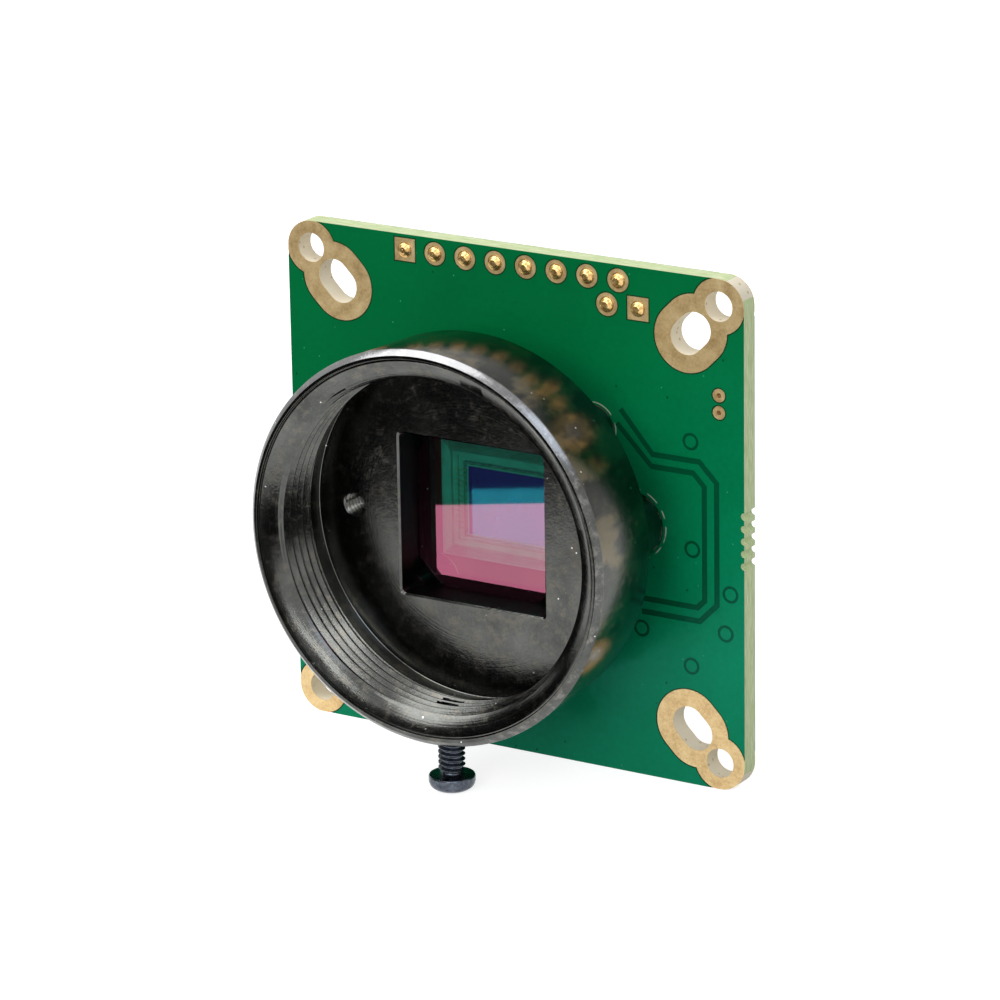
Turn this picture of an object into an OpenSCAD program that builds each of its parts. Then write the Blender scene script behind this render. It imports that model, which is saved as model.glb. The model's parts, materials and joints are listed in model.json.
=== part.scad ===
// Board camera module with a CS lens mount.
// The board stands upright and looks along -Y. The origin is the centre of its front face,
// which the lens axis and the four corner holes share. Units are millimetres.
// Every sub-part is drawn with the board lying flat and the lens pointing up, then stood up.

/* [Board] */
// Side of the square board
board_side = 38; // [37:0.5:44]
// Thickness of the board
board_t = 1.6; // [1:0.1:2.4]
// Radius of the board's rounded corners
board_corner_r = 2; // [1:0.1:2.5]
// Depth of the openings in the green coating, which is also the thickness of the gold
plating_t = 0.04; // [0.03:0.01:0.06]
// Bare gap between a gold area and the green coating
coating_gap = 0.1; // [0.05:0.01:0.15]

/* [Corner fixings] */
// Distance of the corner holes from the board's edges
hole_inset = 2; // [1.8:0.1:2.2]
// Diameter of the corner holes
hole_d = 2.2; // [1.6:0.1:2.4]
// Width of the gold round a corner hole
hole_land_w = 0.95; // [0.5:0.05:1]
// Distance of the slots' centres from the board's edges
slot_inset = 4.25; // [4:0.05:4.6]
// Width of the diagonal slots
slot_w = 2.6; // [2:0.1:2.8]
// Length of the diagonal slots, end to end
slot_len = 3.5; // [3:0.1:3.8]
// Width of the gold round a slot
slot_land_w = 1.3; // [0.6:0.05:1.4]

/* [Board edge] */
// Number of half holes left by the breakaway tab
bite_count = 5; // [1:1:7]
// Spacing of the half holes
bite_pitch = 0.93; // [0.8:0.01:1.2]
// Diameter of the half holes
bite_d = 0.54; // [0.3:0.02:0.7]

/* [Wire terminals] */
// Number of terminals in the row along the top edge
terminal_count = 8; // [2:1:8]
// Spacing of the terminals
terminal_pitch = 2.54; // [2.5:0.01:2.6]
// Distance of the row from the top edge
terminal_edge = 1.15; // [1.1:0.05:1.4]
// Distance from the right edge to the outer terminal of the short row
pair_edge = 8.5; // [8.3:0.1:9]
// Distance of the short row below the long one
pair_drop = 1.87; // [1.85:0.01:2.2]
// Diameter of the terminals' lands
terminal_land_d = 1.7; // [1.4:0.05:1.75]
// Diameter of the terminals' plated holes
terminal_hole_d = 1; // [0.7:0.05:1.1]
// Diameter of the solder domes
solder_d = 1.16; // [1.12:0.02:1.3]
// Height of the solder domes
solder_h = 0.34; // [0.2:0.02:0.4]

/* [Test vias] */
// Distance of the two vias from the right edge
via_edge = 2; // [1.5:0.1:3]
// Height of the upper via above the lens axis
via_z = 10.52; // [10:0.01:11]
// Spacing of the two vias
via_pitch = 1.27; // [1.2:0.01:1.6]
// Diameter of a via's land
via_land_d = 0.98; // [0.8:0.02:1]
// Diameter of a via's hole
via_hole_d = 0.36; // [0.3:0.02:0.5]

/* [Coated tracks] */
// Width of the channel beside a coated track
track_w = 0.42; // [0.2:0.02:0.5]
// Depth of the channels in the coating
track_depth = 0.03; // [0.02:0.01:0.05]
// Outer diameter of the channel round a coated via
coated_via_d = 1.3; // [1.1:0.05:1.4]

/* [Lens mount] */
// Outer diameter of the rim
rim_d = 29.2; // [28.6:0.1:30]
// Height of the rim above the board
rim_h = 12.6; // [12.2:0.1:13.5]
// Bevel on the rim's outer edge
rim_bevel = 0.4; // [0.2:0.05:0.5]
// Width of the rim's flat face
rim_face_w = 0.3; // [0.15:0.05:0.4]
// Width of the fine groove between the rim's face and the lead-in
rim_groove_w = 0.12; // [0.08:0.01:0.16]
// Major diameter of the lens thread
thread_d = 25.4; // [25:0.1:25.8]
// Length of the lens thread
thread_len = 3.5; // [3:0.1:4]
// Diameter of the relief below the thread
relief_d = 25.9; // [25.82:0.02:26.2]
// Height of the mount's floor above the board
floor_h = 5.9; // [5.5:0.1:6.4]
// Thickness of the mount's floor outside the neck
floor_t = 1.85; // [1.4:0.05:2.2]
// Draft of the mount's outer wall, as radius lost down to the floor
wall_draft = 0.45; // [0.2:0.05:0.5]
// Bevel under the mount's wall
under_bevel = 0.95; // [0.5:0.05:1]
// Outer diameter of the neck that stands on the board
neck_d = 18.4; // [18:0.1:19]
// Inner diameter of the neck
neck_bore_d = 16; // [14.6:0.1:16.4]
// Side of the square window in the floor
window_side = 12.1; // [11.6:0.1:12.2]
// Height of the window's ledge above the board
ledge_h = 2.7; // [2.5:0.1:3]
// Width of the ledge that carries the filter
ledge_w = 0.65; // [0.4:0.05:0.9]
// Thickness of the ledge
ledge_t = 0.7; // [0.5:0.05:0.9]

/* [Mount feet] */
// Distance of the two screw feet from the lens axis
foot_x = 10; // [9.8:0.05:10.4]
// Diameter of the screw feet
foot_d = 5; // [4.4:0.1:5.2]
// Distance of the two locating feet from the lens axis, along X and along Z
peg_foot_at = 6.7; // [6.5:0.05:6.9]
// Diameter of the locating feet
peg_foot_d = 3.6; // [3:0.1:3.8]
// Diameter of the pegs on the locating feet
peg_d = 1.4; // [1:0.1:1.6]
// Length of the pegs
peg_len = 1; // [0.6:0.1:1]
// Clearance round a peg in its board hole
peg_clearance = 0.05; // [0.03:0.01:0.1]

/* [Screws] */
// Diameter of the screws
screw_d = 1.96; // [1.8:0.02:2]
// Clearance of a screw in its tapped hole
screw_clearance = 0.02; // [0.01:0.01:0.04]
// Clearance of the mount screws in the board
screw_board_clearance = 0.12; // [0.05:0.01:0.2]
// Diameter of the screws' pan heads
head_d = 3.4; // [3:0.1:3.8]
// Height of the screws' pan heads
head_h = 1.1; // [0.9:0.05:1.3]
// Depth of the cross recess
recess_depth = 0.6; // [0.3:0.05:0.7]
// Length of the mount screws' shanks
mount_screw_len = 5; // [4:0.5:5.5]
// Core diameter of the tapped holes where no screw reaches
tap_core_d = 1.6; // [1.4:0.05:1.7]
// Depth of the countersink where the tapped holes reach the mount's floor
tap_countersink = 0.2; // [0.1:0.05:0.3]
// Height of the lens lock screw above the board
lock_screw_h = 9.1; // [9:0.1:9.4]
// Gap between the lock screw's tip and the thread's major diameter
lock_tip_gap = 0.1; // [0:0.05:0.3]

/* [Filter] */
// Clearance of the filter in the window
filter_clearance = 0.05; // [0.03:0.01:0.1]
// Thickness of the filter
filter_t = 0.7; // [0.5:0.05:1]
// Cut at the filter's corners
filter_cut = 2; // [1:0.1:2.4]

/* [Sensor] */
// Width of the sensor package
sensor_w = 11; // [10.6:0.1:11.4]
// Height of the sensor package
sensor_h = 8.8; // [8.4:0.1:9.2]
// Thickness of the sensor's body
sensor_t = 1; // [0.9:0.05:1.1]
// Width of the package's frame
sensor_frame_w = 0.8; // [0.6:0.05:0.9]
// Thickness of the package's floor
sensor_floor_t = 0.5; // [0.4:0.05:0.55]
// Width of the shelf inside the package's frame, which carries the outer bond pads
sensor_shelf_w = 0.4; // [0.3:0.05:0.45]
// Height of the shelf above the package's floor
sensor_shelf_h = 0.2; // [0.1:0.05:0.3]
// Thickness of the cover glass
cover_glass_t = 0.3; // [0.2:0.05:0.4]
// Set back of the cover glass from the package's edge
cover_glass_inset = 0.05; // [0:0.05:0.2]
// Width of the sensor die
die_w = 7.4; // [7:0.1:7.6]
// Height of the sensor die
die_h = 5.7; // [5.4:0.1:5.8]
// Thickness of the sensor die
die_t = 0.38; // [0.3:0.01:0.39]
// Number of bond wires on each side of the die
wire_count = 12; // [4:1:13]
// Spacing of the bond wires
wire_pitch = 0.4; // [0.3:0.02:0.4]
// Thickness of a bond wire
wire_t = 0.04; // [0.03:0.005:0.05]

/* [Processor] */
// Side of the processor's body
processor_side = 7; // [6.6:0.1:7.4]
// Thickness of the processor's body
processor_t = 1.4; // [1:0.1:1.6]
// Number of leads on each side of the processor
processor_lead_count = 12; // [4:1:12]
// Spacing of the processor's leads
processor_lead_pitch = 0.5; // [0.4:0.01:0.52]
// Width of the processor's leads
processor_lead_w = 0.22; // [0.16:0.01:0.26]

/* [Memory] */
// Width of the memory's body
memory_w = 3.9; // [3.7:0.1:4.1]
// Length of the memory's body
memory_len = 4.9; // [4.7:0.1:5.3]
// Thickness of the memory's body
memory_t = 1.45; // [1.2:0.05:1.6]
// Number of leads on each side of the memory
memory_lead_count = 4; // [2:1:4]
// Spacing of the memory's leads
memory_lead_pitch = 1.27; // [1.2:0.01:1.3]
// Width of the memory's leads
memory_lead_w = 0.41; // [0.3:0.01:0.5]

/* [Leads] */
// Gap under the bodies of the leaded parts
lead_standoff = 0.1; // [0.05:0.01:0.15]
// Thickness of the leads
lead_t = 0.15; // [0.1:0.01:0.18]
// Reach of the leads beyond the body
lead_reach = 1; // [0.8:0.05:1.1]
// Length of the leads' feet
lead_foot = 0.5; // [0.3:0.05:0.55]

/* [Cable socket] */
// Number of contacts in the cable socket
socket_count = 6; // [2:1:8]
// Spacing of the contacts
socket_pitch = 1.25; // [1.2:0.05:1.3]
// Width of the socket's housing
socket_w = 3.6; // [3.4:0.1:4]
// Height of the socket's housing off the board
socket_t = 3.9; // [3.5:0.1:4.2]
// Wall of the socket's housing
socket_wall = 0.45; // [0.35:0.05:0.5]
// Thickness of the socket's floor
socket_floor_t = 1; // [0.8:0.1:1.2]
// Distance of the socket from the board's lower edge
socket_edge = 3.4; // [3.1:0.1:3.8]
// Side of the square contact pins
pin_side = 0.4; // [0.3:0.02:0.44]

/* [Small parts on the back] */
// Size of the crystal's can: length, width, height
crystal_size = [5, 3.2, 1.1]; // [0.8:0.1:5.4]
// Size of the inductor: length, width, height
inductor_size = [4.2, 4.2, 2]; // [1.6:0.1:4.6]
// Size of a voltage regulator: length, width, height
regulator_size = [2.9, 1.6, 1.1]; // [0.9:0.1:3.1]
// Spacing of a regulator's leads
regulator_lead_pitch = 0.95; // [0.8:0.01:1.1]
// Width of a regulator's leads
regulator_lead_w = 0.4; // [0.3:0.02:0.5]
// Size of a tantalum capacitor: length, width, height
tantalum_size = [3.5, 2.8, 1.9]; // [1.6:0.1:3.8]
// Thickness of the tantalum capacitors' end strips
tantalum_strip_t = 0.12; // [0.08:0.01:0.2]
// Width of the tantalum capacitors' end strips
tantalum_strip_w = 2.2; // [1.6:0.1:2.6]
// Length of the strips' feet under the body
tantalum_foot = 0.8; // [0.5:0.05:1]
// Size of a ceramic capacitor: length, width, height
ceramic_size = [1.6, 0.8, 0.8]; // [0.7:0.05:1.8]
// Size of a resistor: length, width, height
resistor_size = [1.6, 0.8, 0.45]; // [0.4:0.05:1.8]

/* [Hidden] */
$fn = 64;

// A little more than nothing, so that a cutter passes clear through a face
past = 0.5;

// Corner fixings
hole_at = board_side / 2 - hole_inset;
slot_at = board_side / 2 - slot_inset;
hole_land_r = hole_d / 2 + hole_land_w;
slot_land_r = slot_w / 2 + slot_land_w;

// Wire terminals: [x, y, square land]
row_y = board_side / 2 - terminal_edge;
pair_x = board_side / 2 - pair_edge;
terminals = concat(
    [for (i = [0 : terminal_count - 1])
        [(i - (terminal_count - 1) / 2) * terminal_pitch, row_y, i == 0]],
    [[pair_x, row_y - pair_drop, true], [pair_x - terminal_pitch, row_y - pair_drop, false]]);
solder_barrel_r = terminal_hole_d / 2;

// Test vias
via_x = board_side / 2 - via_edge;

// Coated tracks, as routes on the board's front, and the coated vias beside them
outer_track = [[9, 8.4], [11.6, 5.4], [15.4, 5.4], [16.8, 4], [16.8, -5.1], [15.4, -6.5], [10.6, -6.5]];
inner_track = [[8.7, 7.3], [11.5, 4.5], [14.9, 4.5], [15.8, 3.6], [15.8, -4.9], [15.2, -5.5], [9.8, -5.5]];
coated_vias = [[14.7, 6.8], [14.8, -1.2], [17.9, -4.1], [17.5, -7.1], [14.7, -10], [10.6, -7.8]];

// Lens mount
rim_r = rim_d / 2;
thread_r = thread_d / 2;
mouth_r = rim_r - rim_bevel - rim_face_w;
thread_top_h = rim_h - (mouth_r - thread_r);
thread_foot_h = thread_top_h - thread_len;
floor_back_h = floor_h - floor_t;
wall_foot_r = rim_r - wall_draft;
feet = [[-foot_x, 0], [foot_x, 0]];
peg_feet = [[peg_foot_at, peg_foot_at], [-peg_foot_at, -peg_foot_at]];

// Screws. The lock screw's head stands level with the board's lower edge.
tapped_r = screw_d / 2 + screw_clearance;
lock_head_end = board_side / 2;
lock_head_seat = lock_head_end - head_h;
lock_tip_r = thread_r + lock_tip_gap;
tapped_depth = mount_screw_len - board_t + screw_clearance;

// Filter and sensor
filter_side = window_side - 2 * filter_clearance;
cavity_w = sensor_w - 2 * sensor_frame_w;
cavity_h = sensor_h - 2 * sensor_frame_w;
wire_span = (cavity_w - die_w) / 2;
well_w = cavity_w - 2 * sensor_shelf_w;
well_h = cavity_h - 2 * sensor_shelf_w;

// Cable socket, and the crystal that lies against its side
socket_len = (socket_count + 1) * socket_pitch + 2 * socket_wall;
socket_at = [0, socket_edge + socket_w / 2 - board_side / 2];
crystal_gap = 0.2;
crystal_at = [board_side * 0.08,
              socket_at[1] + (socket_w + crystal_size[1]) / 2 + crystal_gap];

// The other parts on the back, as seen from the front. A place is a share of the board's side,
// so the layout spreads out with the board.
processor_at = board_side * [-0.04, -0.053];
memory_at = board_side * [0.263, -0.226];
inductor_at = board_side * [-0.305, 0.253];
regulators_at = board_side * [[-0.137, 0.295], [-0.01, 0.295]];
tantalums_at = board_side * [[0.137, 0.279], [-0.326, -0.253]];
ceramics_at = board_side * [[-0.216, 0.358], [-0.074, 0.221], [-0.29, 0.121], [0.09, -0.179],
                            [0.068, 0.174], [0.195, 0.126], [-0.253, -0.079], [-0.253, -0.147],
                            [0.047, 0.11], [0.326, -0.105], [-0.079, 0.105], [-0.158, 0.105]];
resistors_at = board_side * [[0.132, 0.068], [0.132, 0.021], [0.132, -0.026], [0.132, -0.074],
                             [0.326, 0.11], [0.326, 0.158], [-0.221, -0.274], [-0.221, -0.316],
                             [-0.121, -0.274], [-0.121, -0.232], [0.068, 0.358], [0.263, 0.332]];

// Stands the flat drawing up: the lens then looks along -Y and the top edge is up
module stand() {
    rotate([90, 0, 0]) children();
}

// Puts a part on the board's back, with its own Z pointing away from the board
module on_back(at) {
    translate([at[0], at[1], -board_t]) mirror([0, 0, 1]) children();
}

// Repeats a shape at the board's four corners, drawn for the upper right one
module at_corners() {
    for (sx = [0, 1], sy = [0, 1])
        mirror([sx, 0, 0]) mirror([0, sy, 0]) children();
}

module rounded_square(side, r) {
    union() {
        square([side, side - 2 * r], center = true);
        square([side - 2 * r, side], center = true);
        for (sx = [-1, 1], sy = [-1, 1])
            translate([sx * (side / 2 - r), sy * (side / 2 - r)]) circle(r);
    }
}

// A slot's outline on the upper right diagonal
module slot_outline(r) {
    half_run = (slot_len - slot_w) / 2;
    translate([slot_at, slot_at]) rotate(45) {
        square([2 * half_run, 2 * r], center = true);
        for (side = [-1, 1]) translate([side * half_run, 0]) circle(r);
    }
}

// Outline of the gold at the upper right corner, grown by a margin
module corner_land_outline(margin) {
    translate([hole_at, hole_at]) circle(hole_land_r + margin);
    slot_outline(slot_land_r + margin);
}

// A square or round land's outline, grown by a margin
module terminal_land_outline(is_square, margin) {
    d = terminal_land_d + 2 * margin;
    if (is_square) square(d, center = true);
    else circle(d / 2);
}

// Point beside a route's vertex at this distance to its left, on the mitre of the two runs there
function mitre_point(route, i, offset) =
    let (before = route[max(i, 1)] - route[max(i, 1) - 1],
         after = route[min(i + 1, len(route) - 1)] - route[min(i + 1, len(route) - 1) - 1],
         left_a = [-before[1], before[0]] / norm(before),
         left_b = [-after[1], after[0]] / norm(after),
         middle = (left_a + left_b) / norm(left_a + left_b))
    route[i] + middle * offset / (middle * left_a);

// A band of one width along a route, mitred at its bends
module band(route, w) {
    last = len(route) - 1;
    polygon(concat([for (i = [0 : last]) mitre_point(route, i, w / 2)],
                   [for (i = [0 : last]) mitre_point(route, last - i, -w / 2)]));
}

// The shallow channels in the front coating
module track_channels() {
    band(outer_track, track_w);
    band(inner_track, track_w);
    for (p = coated_vias) translate(p) difference() {
        circle(coated_via_d / 2);
        circle(coated_via_d / 2 - track_w / 2);
    }
}

// Openings in the coating of one face, with the face at Z = 0 and the board below
module coating_openings() {
    translate([0, 0, -plating_t]) linear_extrude(plating_t + past) {
        at_corners() corner_land_outline(coating_gap);
        for (t = terminals)
            translate([t[0], t[1]]) terminal_land_outline(t[2], coating_gap);
        for (i = [0, 1])
            translate([via_x, via_z - i * via_pitch]) circle(via_land_d / 2 + coating_gap);
    }
}

// Everything that passes right through the board
module board_holes() {
    translate([0, 0, -board_t - past]) linear_extrude(board_t + 2 * past) {
        at_corners() {
            translate([hole_at, hole_at]) circle(hole_d / 2);
            slot_outline(slot_w / 2);
        }
        for (t = terminals) translate([t[0], t[1]]) circle(terminal_hole_d / 2);
        for (i = [0, 1]) translate([via_x, via_z - i * via_pitch]) circle(via_hole_d / 2 + plating_t);
        for (p = feet) translate(p) circle(screw_d / 2 + screw_board_clearance);
        for (p = peg_feet) translate(p) circle(peg_d / 2 + peg_clearance);
        for (i = [0 : bite_count - 1])
            translate([board_side / 2, (i - (bite_count - 1) / 2) * bite_pitch]) circle(bite_d / 2);
    }
}

// Glass-fibre board with its green coating
module board() {
    color("seagreen") stand() difference() {
        translate([0, 0, -board_t])
            linear_extrude(board_t) rounded_square(board_side, board_corner_r);
        board_holes();
        coating_openings();
        translate([0, 0, -board_t]) mirror([0, 0, 1]) coating_openings();
        translate([0, 0, -track_depth]) linear_extrude(track_depth + past) track_channels();
    }
}

// One face's gold at the upper right corner, cut back at the board's edge
module corner_land() {
    linear_extrude(plating_t) difference() {
        intersection() {
            corner_land_outline(0);
            rounded_square(board_side, board_corner_r);
        }
        translate([hole_at, hole_at]) circle(hole_d / 2);
        slot_outline(slot_w / 2);
    }
}

// Gold lands round the corner holes and slots, on both faces
module corner_lands() {
    color("gold") stand() at_corners() {
        translate([0, 0, -plating_t]) corner_land();
        translate([0, 0, -board_t]) corner_land();
    }
}

// Gold lands of the wire terminals, on both faces
module terminal_lands() {
    color("gold") stand() for (t = terminals, z = [-plating_t, -board_t])
        translate([t[0], t[1], z]) linear_extrude(plating_t) difference() {
            terminal_land_outline(t[2], 0);
            circle(terminal_hole_d / 2);
        }
}

// A low dome of solder standing on Z = 0
module solder_dome() {
    dome_r = (solder_d * solder_d / 4 + solder_h * solder_h) / (2 * solder_h);
    intersection() {
        translate([0, 0, solder_h - dome_r]) sphere(dome_r);
        cylinder(h = solder_h, r = solder_d / 2);
    }
}

// Solder that fills the terminals' holes and stands domed on both faces
module terminal_joints() {
    color("khaki") stand() for (t = terminals) translate([t[0], t[1], 0]) {
        translate([0, 0, -board_t]) cylinder(h = board_t, r = solder_barrel_r);
        solder_dome();
        translate([0, 0, -board_t]) mirror([0, 0, 1]) solder_dome();
    }
}

// Two plated vias for test probes: a lined hole with a land on each face
module test_vias() {
    color("gold") stand() for (i = [0, 1]) translate([via_x, via_z - i * via_pitch, -board_t])
        difference() {
            union() {
                cylinder(h = board_t, r = via_hole_d / 2 + plating_t);
                for (z = [0, board_t - plating_t])
                    translate([0, 0, z]) cylinder(h = plating_t, r = via_land_d / 2);
            }
            translate([0, 0, -past]) cylinder(h = board_t + 2 * past, r = via_hole_d / 2);
        }
}

// The mount's turned body: neck, floor, tapered wall, rim and threaded well
module mount_body() {
    rotate_extrude($fn = 128) polygon([
        [0, ledge_h - ledge_t],
        [neck_bore_d / 2, ledge_h - ledge_t],
        [neck_bore_d / 2, 0],
        [neck_d / 2, 0],
        [neck_d / 2, floor_back_h],
        [wall_foot_r - under_bevel, floor_back_h],
        [wall_foot_r, floor_back_h + under_bevel],
        [rim_r, rim_h - rim_bevel],
        [rim_r - rim_bevel, rim_h],
        [mouth_r, rim_h],
        [mouth_r, rim_h - 2 * rim_groove_w],
        [mouth_r - rim_groove_w, rim_h - 2 * rim_groove_w],
        [mouth_r - rim_groove_w, rim_h - rim_groove_w],
        [thread_r, thread_top_h],
        [thread_r, thread_foot_h],
        [relief_d / 2, thread_foot_h],
        [relief_d / 2, floor_h],
        [0, floor_h]]);
}

// Feet that carry the mount on the board
module mount_feet() {
    for (p = feet) translate([p[0], p[1], 0]) cylinder(h = floor_back_h + past, r = foot_d / 2);
    for (p = peg_feet) translate([p[0], p[1], 0])
        cylinder(h = floor_back_h + past, r = peg_foot_d / 2);
}

// CS lens mount: one black casting, machined inside, on two screw feet and two locating feet
module lens_mount() {
    ledge_side = window_side - 2 * ledge_w;
    color("dimgray") stand() {
        difference() {
            union() {
                mount_body();
                mount_feet();
            }
            translate([0, 0, -past])
                cylinder(h = ledge_h - ledge_t + past, r = neck_bore_d / 2, $fn = 128);
            translate([-window_side / 2, -window_side / 2, ledge_h])
                cube([window_side, window_side, floor_h - ledge_h + past]);
            translate([-ledge_side / 2, -ledge_side / 2, ledge_h - ledge_t - past])
                cube([ledge_side, ledge_side, ledge_t + 2 * past]);
            for (p = feet) translate([p[0], p[1], -past]) {
                cylinder(h = floor_h + 2 * past, r = tap_core_d / 2);
                cylinder(h = tapped_depth + past, r = tapped_r);
                translate([0, 0, floor_h - tap_countersink + past])
                    cylinder(h = tap_countersink + past, r1 = tap_core_d / 2,
                             r2 = tap_core_d / 2 + tap_countersink + past);
            }
            translate([0, -rim_r - past, lock_screw_h]) rotate([-90, 0, 0])
                cylinder(h = rim_r - relief_d / 2 + 4 * past, r = tapped_r);
        }
        for (p = peg_feet) translate([p[0], p[1], -peg_len]) cylinder(h = peg_len, r = peg_d / 2);
    }
}

// A pan-head screw: the head's seat at Z = 0, the shank pointing down, the crown up
module pan_screw(shank) {
    crown_r = head_d * 0.36;
    difference() {
        union() {
            translate([0, 0, -shank]) cylinder(h = shank, r = screw_d / 2);
            rotate_extrude() polygon([
                [0, 0], [head_d / 2, 0], [head_d / 2, head_h * 0.45],
                [head_d * 0.46, head_h * 0.78], [crown_r, head_h], [0, head_h]]);
        }
        for (turn = [0, 90]) rotate(turn)
            translate([-head_d * 0.24, -head_d * 0.05, head_h - recess_depth])
                cube([head_d * 0.48, head_d * 0.1, recess_depth + past]);
    }
}

// Radial screw through the mount's wall, which locks the lens
module lens_lock_screw() {
    color("dimgray") stand() translate([0, -lock_head_seat, lock_screw_h]) rotate([90, 0, 0])
        pan_screw(lock_head_seat - lock_tip_r);
}

// Two screws from the back that hold the mount's feet
module mount_screws() {
    color("silver") stand() for (p = feet) on_back(p) pan_screw(mount_screw_len);
}

// Infrared-cut filter on the mount's ledge
module ir_filter() {
    half = filter_side / 2;
    cut = half - filter_cut;
    color("hotpink") stand() translate([0, 0, ledge_h]) linear_extrude(filter_t) polygon([
        [half, cut], [cut, half], [-cut, half], [-half, cut],
        [-half, -cut], [-cut, -half], [cut, -half], [half, -cut]]);
}

// Sensor package: a stepped tray on the board, its shelf round the die's well
module sensor_body() {
    color("darkseagreen") stand() difference() {
        translate([-sensor_w / 2, -sensor_h / 2, 0]) cube([sensor_w, sensor_h, sensor_t]);
        translate([-cavity_w / 2, -cavity_h / 2, sensor_floor_t + sensor_shelf_h])
            cube([cavity_w, cavity_h, sensor_t]);
        translate([-well_w / 2, -well_h / 2, sensor_floor_t]) cube([well_w, well_h, sensor_t]);
    }
}

module sensor_die() {
    color("midnightblue") stand() translate([-die_w / 2, -die_h / 2, sensor_floor_t])
        cube([die_w, die_h, die_t]);
}

// Bond wires from the die's left and right edges to the package's shelf
module sensor_bond_wires() {
    color("gold") stand() for (side = [0, 1]) mirror([side, 0, 0])
        for (i = [0 : wire_count - 1])
            translate([0, (i - (wire_count - 1) / 2) * wire_pitch, 0]) bond_wire();
}

// One bond wire beside the die's right edge
module bond_wire() {
    pad_x = die_w / 2 - 0.16;
    shelf_x = (cavity_w - sensor_shelf_w) / 2;
    shelf_z = sensor_floor_t + sensor_shelf_h;
    crown_z = sensor_t - 0.03;
    die_z = sensor_floor_t + die_t;
    rotate([90, 0, 0]) linear_extrude(wire_t, center = true) polygon([
        [pad_x - 0.06, die_z], [pad_x + 0.06, die_z],
        [pad_x + 0.08, crown_z - wire_t], [die_w / 2 + 0.14, crown_z - wire_t],
        [shelf_x - 0.06, shelf_z], [shelf_x + 0.06, shelf_z],
        [die_w / 2 + 0.18, crown_z], [pad_x + 0.04, crown_z]]);
}

// Cover glass of the sensor
module sensor_cover_glass() {
    w = sensor_w - 2 * cover_glass_inset;
    h = sensor_h - 2 * cover_glass_inset;
    color("powderblue") stand() translate([-w / 2, -h / 2, sensor_t]) cube([w, h, cover_glass_t]);
}

// A moulded body with drafted sides, its underside raised off the board
module moulded_body(size) {
    draft = 0.12;
    w = size[0];
    l = size[1];
    top = size[2];
    mid = (top + lead_standoff) / 2;
    intersection() {
        rotate([90, 0, 0]) linear_extrude(l, center = true) polygon([
            [-w / 2 + draft, lead_standoff], [w / 2 - draft, lead_standoff], [w / 2, mid],
            [w / 2 - draft, top], [-w / 2 + draft, top], [-w / 2, mid]]);
        rotate([90, 0, 90]) linear_extrude(w, center = true) polygon([
            [-l / 2 + draft, lead_standoff], [l / 2 - draft, lead_standoff], [l / 2, mid],
            [l / 2 - draft, top], [-l / 2 + draft, top], [-l / 2, mid]]);
    }
}

// A row of gull-wing leads along the +X side of a body of this width and height
module lead_row(body_w, body_t, count, pitch, w) {
    mid = (body_t + lead_standoff) / 2;
    x0 = body_w / 2;
    knee = x0 + (lead_reach - lead_foot) * 0.45;
    heel = x0 + lead_reach - lead_foot;
    for (i = [0 : count - 1]) translate([0, (i - (count - 1) / 2) * pitch, 0])
        rotate([90, 0, 0]) linear_extrude(w, center = true) polygon([
            [x0, mid - lead_t / 2], [knee - lead_t * 0.4, mid - lead_t / 2],
            [heel - lead_t * 0.6, 0], [x0 + lead_reach, 0], [x0 + lead_reach, lead_t],
            [heel + lead_t * 0.4, lead_t], [knee + lead_t * 0.6, mid + lead_t / 2],
            [x0, mid + lead_t / 2]]);
}

// Image processor with leads on four sides
module processor_body() {
    color("dimgray") stand() on_back(processor_at) difference() {
        moulded_body([processor_side, processor_side, processor_t]);
        translate([-processor_side * 0.36, processor_side * 0.36, processor_t - 0.06])
            cylinder(h = 1, r = 0.4);
    }
}

module processor_leads() {
    color("silver") stand() on_back(processor_at) for (turn = [0 : 90 : 270]) rotate(turn)
        lead_row(processor_side, processor_t, processor_lead_count, processor_lead_pitch,
                 processor_lead_w);
}

// Settings memory with leads on two sides
module memory_body() {
    color("dimgray") stand() on_back(memory_at) difference() {
        moulded_body([memory_w, memory_len, memory_t]);
        translate([-memory_w * 0.3, memory_len * 0.36, memory_t - 0.06]) cylinder(h = 1, r = 0.3);
    }
}

module memory_leads() {
    color("silver") stand() on_back(memory_at) for (turn = [0, 180]) rotate(turn)
        lead_row(memory_w, memory_t, memory_lead_count, memory_lead_pitch, memory_lead_w);
}

// Clock crystal: a lidded metal can
module crystal_can() {
    lip = 0.3;
    color("silver") stand() on_back(crystal_at) {
        translate([-crystal_size[0] / 2, -crystal_size[1] / 2, 0])
            cube([crystal_size[0], crystal_size[1], crystal_size[2] * 0.6]);
        translate([-crystal_size[0] / 2 + lip, -crystal_size[1] / 2 + lip, 0])
            cube([crystal_size[0] - 2 * lip, crystal_size[1] - 2 * lip, crystal_size[2]]);
    }
}

// Power inductor: a ferrite drum between two square flanges
module power_inductor() {
    flange_t = inductor_size[2] * 0.22;
    color("gray") stand() on_back(inductor_at) {
        for (z = [0, inductor_size[2] - flange_t])
            translate([0, 0, z]) linear_extrude(flange_t)
                square([inductor_size[0], inductor_size[1]], center = true);
        cylinder(h = inductor_size[2], r = inductor_size[1] * 0.44);
    }
}

module regulator_bodies() {
    color("dimgray") stand() for (p = regulators_at) on_back(p) moulded_body(
        [regulator_size[0], regulator_size[1], regulator_size[2]]);
}

module regulator_leads() {
    color("silver") stand() for (p = regulators_at) on_back(p) {
        rotate(90) lead_row(regulator_size[1], regulator_size[2], 3, regulator_lead_pitch,
                            regulator_lead_w);
        rotate(-90) lead_row(regulator_size[1], regulator_size[2], 2, 2 * regulator_lead_pitch,
                             regulator_lead_w);
    }
}

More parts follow.
